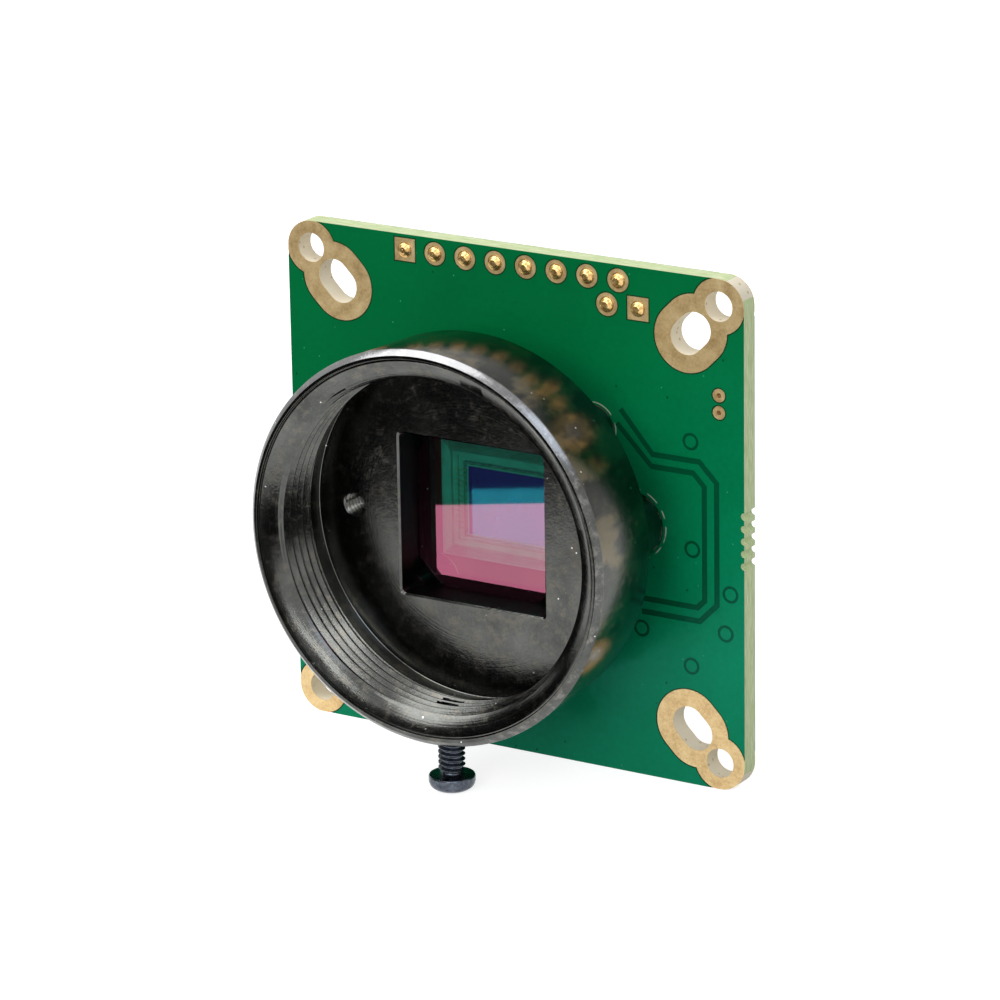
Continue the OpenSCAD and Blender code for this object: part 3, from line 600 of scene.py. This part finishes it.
def board_laminate():
    """Green solder mask on the two faces, darker in the bare gaps and track channels, and the
    pale woven laminate on every edge, whose layers run along it. Thin pale rings, worn
    through here and there, show where the mount's feet have marked the mask."""
    f = Finish("board_laminate", specular_tint=(0.1, 1.0, 0.9, 1))
    f.put("Specular IOR Level", 0.3)
    place, x, y, z = f.place()
    cloud = f.noise(0.13, 2)
    fine = f.noise(2.2, 4, 0.6)
    # Painted light: the mask is paler towards the lower right, standing for the white floor mirrored
    # there.
    down = (x * 0.35 - z).step(-18, 18)
    mask = f.mix(down, srgb(2, 108, 56), srgb(3, 132, 90))
    mask = f.mix((cloud - 0.5) * 0.7 + (fine - 0.5) * 0.5 + 0.25, mask, srgb(2, 88, 44))
    mask = f.mix(f.specks(0.9, 0.07) * 0.5, mask, srgb(70, 170, 120))
    mask = f.mix(f.specks(0.5, 0.06, f.stretched(1.07, 1.0, 0.93)) * 0.7, mask, srgb(1, 52, 30))
    channel = (y > 0.012) * (y < 0.036)
    mask = f.mix(channel, mask, srgb(2, 74, 46))
    gap = (y > 0.0385) * (y < 0.0415) + (y > BOARD_T - 0.0415) * (y < BOARD_T - 0.0385)
    mask = f.mix(gap, mask, srgb(24, 62, 34))
    worn = f.noise(1.1, 2).step(0.42, 0.52)
    for (foot_x, foot_z), foot_r in MARKS:
        ring = (((x - foot_x) ** 2 + (z - foot_z) ** 2) ** 0.5 - foot_r).size()
        mask = f.mix(ring.step(0.07, 0.02) * worn * (y < 0.01), mask, srgb(170, 184, 160))
    layers = f.noise(1.0, 3, 0.6, f.stretched(0.8, 9, 0.8))
    edge = f.ramp(layers, (0.3, srgb(176, 192, 134)), (0.5, srgb(204, 216, 164)),
                  (0.72, srgb(232, 234, 198)))
    inside = (y > 0.0425) * (y < BOARD_T - 0.0425)
    lined = (x.size() > 12.0) * (x.size() < HALF - 0.1) * (z.size() > 12.0) * (z.size() < HALF - 0.1)
    lining = f.mix(f.specks(1.6, 0.22) * 0.6, srgb(240, 228, 204), srgb(190, 150, 96))
    edge = f.mix(lined, edge, lining)
    f.put("Base Color", f.mix(inside, mask, edge))
    f.put("Roughness", inside * 0.35 + fine * 0.1 + 0.17)
    ripple = f.noise(0.55, 3, 0.55) + fine * 0.06 + f.specks(1.6, 0.05) * 0.25
    f.bump(ripple + inside * layers * 0.4, 0.05)
    return f.material


def gold_plating():
    """Immersion gold over a rough copper land: half a soft mirror, half a warm matt ground,
    mottled brown, with a few reddish spots."""
    f = Finish("gold_plating", metallic=0.55)
    grain = f.noise(5, 4, 0.65)
    cloud = f.noise(0.8, 3, 0.6)
    tone = cloud * 0.6 + grain * 0.4
    gold = f.ramp(tone, (0.34, srgb(196, 160, 108)), (0.5, srgb(228, 196, 140)),
                  (0.66, srgb(244, 218, 164)))
    f.put("Base Color", f.mix(f.specks(1.3, 0.12) * 0.4, gold, srgb(206, 130, 96)))
    f.put("Roughness", cloud * 0.3 + 0.2)
    f.bump(grain, 0.02)
    return f.material


def solder():
    """Tin solder over gold, golden orange with a faint skin."""
    f = Finish("solder", metallic=0.85)
    skin = f.noise(3.5, 3, 0.6)
    f.put("Base Color", f.ramp(skin, (0.3, srgb(206, 160, 90)), (0.7, srgb(250, 214, 146))))
    f.put("Roughness", skin * 0.25 + 0.12)
    f.bump(skin, 0.03)
    return f.material


def black_anodised():
    """Black casting: dark worn metal, with turned rings inside. On its outer wall, blotches of
    painted reflection, olive and dark, stand for the board mirrored there, and its upper half is
    darkened as painted reflection too. The bevels on its rim are rubbed brighter in scuffed places
    and carry a painted highlight along the top, everything behind its floor within the neck's
    radius is darkened nearly to black as painted shade, and a little pale dust lies on it."""
    f = Finish("black_anodised", metallic=1.0)
    place, x, y, z = f.place()
    radius = (x * x + z * z) ** 0.5
    cloud = f.noise(0.35, 4, 0.6)
    grain = f.noise(6, 4, 0.6)
    turned = f.noise(1.0, 2, 0.5, f.along(radius * 11, y * 1.2, 0.0))
    rub_and_top_highlight = (radius - y).step(RIM_R + RIM_H - RIM_BEVEL - 0.06, RIM_R + RIM_H - RIM_BEVEL + 0.02)
    scuff = f.noise(1.3, 5, 0.7).step(0.5, 0.66)
    tone = f.ramp(cloud * 0.7 + grain * 0.3, (0.35, srgb(74, 75, 73)), (0.65, srgb(100, 101, 98)))
    tone = f.mix(scuff * 0.3, tone, srgb(134, 126, 112))
    outer = (radius > RIM_R - 0.5) * (y > RIM_BEVEL + 0.1 - RIM_H)
    # Painted reflection: olive blotches, with darker ground between them, stand for the board and
    # gold pads blurred in the outer wall, and the upper half is darkened for the dark board mirrored
    # there.
    painted_reflection_patch = f.noise(0.42, 3, 0.6, f.stretched(1.0, 0.5, 1.0)).step(0.42, 0.6)
    dim = outer * z.step(0.0, 9.0) * 0.55 + outer * (1 - painted_reflection_patch) * 0.3
    tone = f.mix(dim, tone, srgb(34, 36, 32))
    tone = f.mix(outer * painted_reflection_patch * 0.25, tone, srgb(150, 132, 92))
    # Painted highlight: the rim's bevel is lightened most along the top, where the lamp above is
    # mirrored; the scuffed share is real wear.
    rub_and_top_highlight = rub_and_top_highlight * (scuff * 0.3 + z.step(6.0, 13.0) * 0.6)
    tone = f.mix(rub_and_top_highlight, tone, srgb(158, 158, 160))
    # Painted shade: everything behind the floor within the neck's radius, the window's walls among
    # it, is darkened nearly to black and made rougher.
    painted_shade_in_window = (y > 0.14 - FLOOR_H) * (radius < NECK_R)
    tone = f.mix(painted_shade_in_window * 0.9, tone, srgb(24, 24, 24))
    f.put("Base Color", f.mix(f.specks(0.7, 0.055) * 0.9, tone, srgb(230, 232, 230)))
    f.put("Roughness", cloud * 0.1 + grain * 0.08 + scuff * 0.08 + 0.08 + painted_shade_in_window * 0.15)
    inner = radius < 13.2
    f.bump(grain * 0.25 + turned * inner * 0.22, 0.03)
    return f.material


def screw_steel(name, low, high):
    """Screw metal with fine scratches round the axis."""
    f = Finish(name, metallic=1.0)
    streak = f.noise(3.0, 3, 0.6)
    f.put("Base Color", f.ramp(streak, (0.3, low), (0.7, high)))
    f.put("Roughness", streak * 0.25 + 0.12)
    f.bump(f.noise(9, 3), 0.012)
    return f.material


def filter_glass():
    """Infrared-cut glass: green to look through, and a pink mirror on its front."""
    f = Finish("filter_glass", "ShaderNodeMixShader")
    place, x, y, z = f.place()
    front = y < -LEDGE_H - 0.65
    glow = f.add("ShaderNodeBsdfGlossy", None, {"Color": (1.0, 0.27, 0.46, 1), "Roughness": 0.02})
    clear = f.add("ShaderNodeBsdfTransparent", None, {"Color": (0.42, 0.88, 0.82, 1)})
    wave = f.noise(0.25, 2)
    f.put(0, front * (wave * 0.08 + 0.25))
    f.put(1, clear.outputs[0])
    f.put(2, glow.outputs[0])
    return f.material


def cover_glass():
    """Clear glass with a faint reflection on its front."""
    f = Finish("cover_glass", "ShaderNodeMixShader")
    place, x, y, z = f.place()
    shine = f.add("ShaderNodeBsdfGlossy", None, {"Color": (0.9, 1.0, 1.0, 1), "Roughness": 0.02})
    clear = f.add("ShaderNodeBsdfTransparent", None, {"Color": (0.97, 1.0, 0.99, 1)})
    f.put(0, (y < -1.25) * (f.noise(0.3, 2) * 0.03 + 0.05))
    f.put(1, clear.outputs[0])
    f.put(2, shine.outputs[0])
    return f.material


def sensor_ceramic():
    """Pale fired ceramic with a fine grain."""
    f = Finish("sensor_ceramic", roughness=0.45)
    grain = f.noise(8, 4, 0.6)
    cloud = f.noise(0.9, 3)
    f.put("Base Color", f.ramp(cloud * 0.6 + grain * 0.4, (0.3, srgb(200, 205, 196)),
                               (0.7, srgb(232, 232, 222))))
    f.put("Roughness", grain * 0.2 + 0.35)
    f.bump(grain, 0.01)
    return f.material


def sensor_silicon():
    """Polished silicon under blue filters: a violet mirror over deep blue, with a thin pale
    line round its light-sensitive field and paler circuits outside it."""
    f = Finish("sensor_silicon", "ShaderNodeMixShader")
    place, x, y, z = f.place()
    inset = (x.size() - FIELD_HALF_W).most(z.size() - FIELD_HALF_H)
    outside = inset.step(-0.02, 0.02)
    line = inset.size().step(0.08, 0.03)
    circuits = f.noise(4, 2, 0.5, f.stretched(1, 1, 6))
    field = f.ramp(f.noise(0.3, 2), (0.3, (0.03, 0.09, 0.9, 1)), (0.7, (0.05, 0.12, 1, 1)))
    rim = f.ramp(circuits, (0.35, srgb(120, 150, 140)), (0.65, srgb(196, 208, 200)))
    ground = f.mix(outside, field, rim)
    ground = f.mix(line, ground, srgb(214, 226, 220))
    matt = f.add("ShaderNodeBsdfDiffuse", None, {"Color": ground})
    shine = f.add("ShaderNodeBsdfGlossy", None, {"Color": (0.7, 0.58, 1, 1), "Roughness": 0.03})
    f.put(0, 0.6 - outside * 0.35 - line * 0.2)
    f.put(1, matt.outputs[0])
    f.put(2, shine.outputs[0])
    return f.material


def moulded(name, low, high, rough=0.5, grain_scale=7.0, depth=0.015):
    """Moulded or fired material: a fine grain over a slow cloud between two colours."""
    f = Finish(name)
    grain = f.noise(grain_scale, 4, 0.65)
    cloud = f.noise(0.7, 3)
    f.put("Base Color", f.ramp(grain * 0.5 + cloud * 0.5, (0.32, low), (0.68, high)))
    f.put("Roughness", grain * 0.25 + rough - 0.12)
    f.bump(grain, depth)
    return f.material


def tinned(name, low, high, rough=0.22):
    """Tinned or plated metal, slightly clouded."""
    f = Finish(name, metallic=1.0)
    cloud = f.noise(2.2, 4, 0.6)
    f.put("Base Color", f.ramp(cloud, (0.3, low), (0.7, high)))
    f.put("Roughness", cloud * 0.3 + rough - 0.1)
    f.bump(f.noise(7, 3), 0.01)
    return f.material


FINISHES = {
    "board_laminate": board_laminate(),
    "gold_plating": gold_plating(),
    "solder": solder(),
    "black_anodised": black_anodised(),
    "black_screw": screw_steel("black_screw", srgb(62, 66, 74), srgb(104, 110, 120)),
    "plain_screw": screw_steel("plain_screw", srgb(176, 176, 172), srgb(214, 214, 210)),
    "filter_glass": filter_glass(),
    "sensor_ceramic": sensor_ceramic(),
    "sensor_silicon": sensor_silicon(),
    "cover_glass": cover_glass(),
    "black_epoxy": moulded("black_epoxy", srgb(30, 30, 32), srgb(46, 46, 48)),
    "tinned_lead": tinned("tinned_lead", srgb(178, 178, 174), srgb(222, 220, 214)),
    "crystal_metal": tinned("crystal_metal", srgb(196, 192, 180), srgb(226, 222, 210), 0.3),
    "ferrite": moulded("ferrite", srgb(58, 58, 60), srgb(84, 84, 86), 0.6, 5, 0.03),
    "tantalum_epoxy": moulded("tantalum_epoxy", srgb(198, 138, 42), srgb(224, 166, 66), 0.4),
    "capacitor_ceramic": moulded("capacitor_ceramic", srgb(150, 122, 90), srgb(178, 148, 112)),
    "resistor_film": moulded("resistor_film", srgb(24, 24, 28), srgb(40, 40, 46), 0.35),
    "socket_nylon": moulded("socket_nylon", srgb(220, 214, 196), srgb(238, 234, 220), 0.45),
}



# ---------------------------------------------------------------- the studio
GROUND_EDGE = 63.5
GROUND_SIDE_EDGE = 24.0
GROUND_CORNER = -26.0
GROUND_REACH = 260.0
CARD_GLOW = 0.02
WORLD_LIGHT = 0.5
FLOOR_GLOW = 0.8
KEY_AT = (-0.27, -0.21, 0.49)
KEY_SIZE = 0.45
KEY_LIGHT = 3.4
FILL_AT = (0.30, -0.33, 0.40)
FILL_SIZE = 0.25
FILL_LIGHT = 2.4
FILL_COLOUR = (0.72, 0.82, 1.0)
FRONT_AT = (0.08, -0.60, 0.24)
FRONT_SIZE = 0.3
FRONT_LIGHT = 5.0
CAMERA_AT = (0.19144, -0.31284, 0.11770)
CAMERA_PITCH = 90 - 17.757
CAMERA_HEADING = -31.62
CAMERA_ROLL = -0.956
CAMERA_LENS = 191.6


def add_camera():
    """Looks down at the module from the front right."""
    lens = bpy.data.cameras.new("camera")
    lens.lens = CAMERA_LENS
    camera = bpy.data.objects.new("camera", lens)
    bpy.context.scene.collection.objects.link(camera)
    camera.location = CAMERA_AT
    turn = Matrix.Rotation(math.radians(-CAMERA_HEADING), 3, "Z")
    turn = turn @ Matrix.Rotation(math.radians(CAMERA_PITCH), 3, "X")
    turn = turn @ Matrix.Rotation(math.radians(CAMERA_ROLL), 3, "Z")
    camera.rotation_euler = turn.to_euler()
    bpy.context.scene.camera = camera


def seen_rays(f):
    """1 for what the camera, a reflection or a clear surface looks at, otherwise 0."""
    path = f.add("ShaderNodeLightPath")
    rays = [Value(f, path.outputs[kind]) for kind in
            ("Is Camera Ray", "Is Glossy Ray", "Is Transmission Ray")]
    return rays[0].most(rays[1]).most(rays[2])


def floor_finish():
    """White paper that keeps the shadow, and looks white where the light falls short."""
    f = Finish("floor_paper", roughness=1.0)
    f.put("Base Color", (0.55, 0.55, 0.55, 1))
    f.put("Specular IOR Level", 0.0)
    f.put("Emission Color", (1, 1, 1, 1))
    f.put("Emission Strength", seen_rays(f) * FLOOR_GLOW)
    return f.material


def card_finish():
    """A dim grey card."""
    f = Finish("dark_card", "ShaderNodeEmission")
    f.put("Color", (1.0, 1.0, 1.0, 1))
    f.put("Strength", CARD_GLOW)
    return f.material


def stage_piece(name, points, faces, material):
    mesh = bpy.data.meshes.new(name)
    mesh.from_pydata((points.reshape(-1, 3) * MM).tolist(), [], faces.tolist())
    mesh.materials.append(material)
    obj = bpy.data.objects.new(name, mesh)
    bpy.context.scene.collection.objects.link(obj)
    return obj


def dark_ground(name, start, left, right):
    """What glossy surfaces see past the white ground: a dark sheet that lies on the floor from
    the given distance outwards and then rises, as a profile of (distance, height) carried
    sideways from left to right."""
    toward = np.array([-0.524, -0.852, 0.0])
    aside = np.array([toward[1], -toward[0], 0.0])
    distance = np.array([start, 110, 170, 215, 240, 255])
    height = np.array([0.4, 0.4, 0.4, 30, 90, 180]) - HALF
    across = np.linspace(left, right, 9)
    points = (distance[:, None, None] * toward + height[:, None, None] * np.array([0, 0, 1.0])
              + across[None, :, None] * aside)
    card = stage_piece(name, points, grid_faces(6, 9, close_columns=False), card_finish())
    card.visible_camera = False
    card.visible_diffuse = False
    card.visible_transmission = False
    card.visible_shadow = False


def add_lamp(name, at, size, radiance, colour=(1, 1, 1), aim=(0, 0, 0)):
    """A square softbox of the given brightness, aimed at a point."""
    lamp = bpy.data.lights.new(name, "AREA")
    lamp.shape = "SQUARE"
    lamp.size = size
    lamp.energy = radiance * math.pi * size ** 2
    lamp.color = colour
    obj = bpy.data.objects.new(name, lamp)
    bpy.context.scene.collection.objects.link(obj)
    obj.location = at
    obj.rotation_euler = (Vector(aim) - Vector(at)).to_track_quat("-Z", "Y").to_euler()


def build_studio():
    ends = np.array([-4000.0, 4000.0])
    x, y = np.meshgrid(ends, ends)
    floor = np.stack([x, y, 0 * x - HALF - 0.02], axis=-1)
    stage_piece("floor", floor, np.array([[0, 1, 3, 2]]), floor_finish())
    dark_ground("ground_ahead", GROUND_EDGE, GROUND_CORNER, GROUND_REACH)
    dark_ground("ground_right", GROUND_SIDE_EDGE, -GROUND_REACH, GROUND_CORNER)
    world = bpy.data.worlds.new("studio")
    world.use_nodes = True
    world.node_tree.nodes.clear()
    f = Finish.__new__(Finish)
    f.tree = world.node_tree
    back = f.add("ShaderNodeBackground", None, {"Color": (1, 1, 1, 1)})
    f.feed(back.inputs["Strength"], seen_rays(f) * (1 - WORLD_LIGHT) + WORLD_LIGHT)
    f.feed(f.tree.nodes.new("ShaderNodeOutputWorld").inputs["Surface"], back.outputs[0])
    bpy.context.scene.world = world
    add_lamp("softbox_above", KEY_AT, KEY_SIZE, KEY_LIGHT)
    add_lamp("softbox_right", FILL_AT, FILL_SIZE, FILL_LIGHT, FILL_COLOUR)
    add_lamp("softbox_front", FRONT_AT, FRONT_SIZE, FRONT_LIGHT)
    bpy.context.scene.view_settings.view_transform = "Standard"



def dress_nodes():
    """Gives every CAD node the finish of its material slot."""
    for part in frame["record"]["subparts"]:
        mesh = frame["nodes"][part["node"]].data
        mesh.materials.clear()
        mesh.materials.append(FINISHES[part["material_slot"]])


add_camera()
build_studio()
dress_nodes()
build_mount(FINISHES["black_anodised"])
build_screws(FINISHES["black_screw"], FINISHES["plain_screw"])
build_joints(FINISHES["solder"])
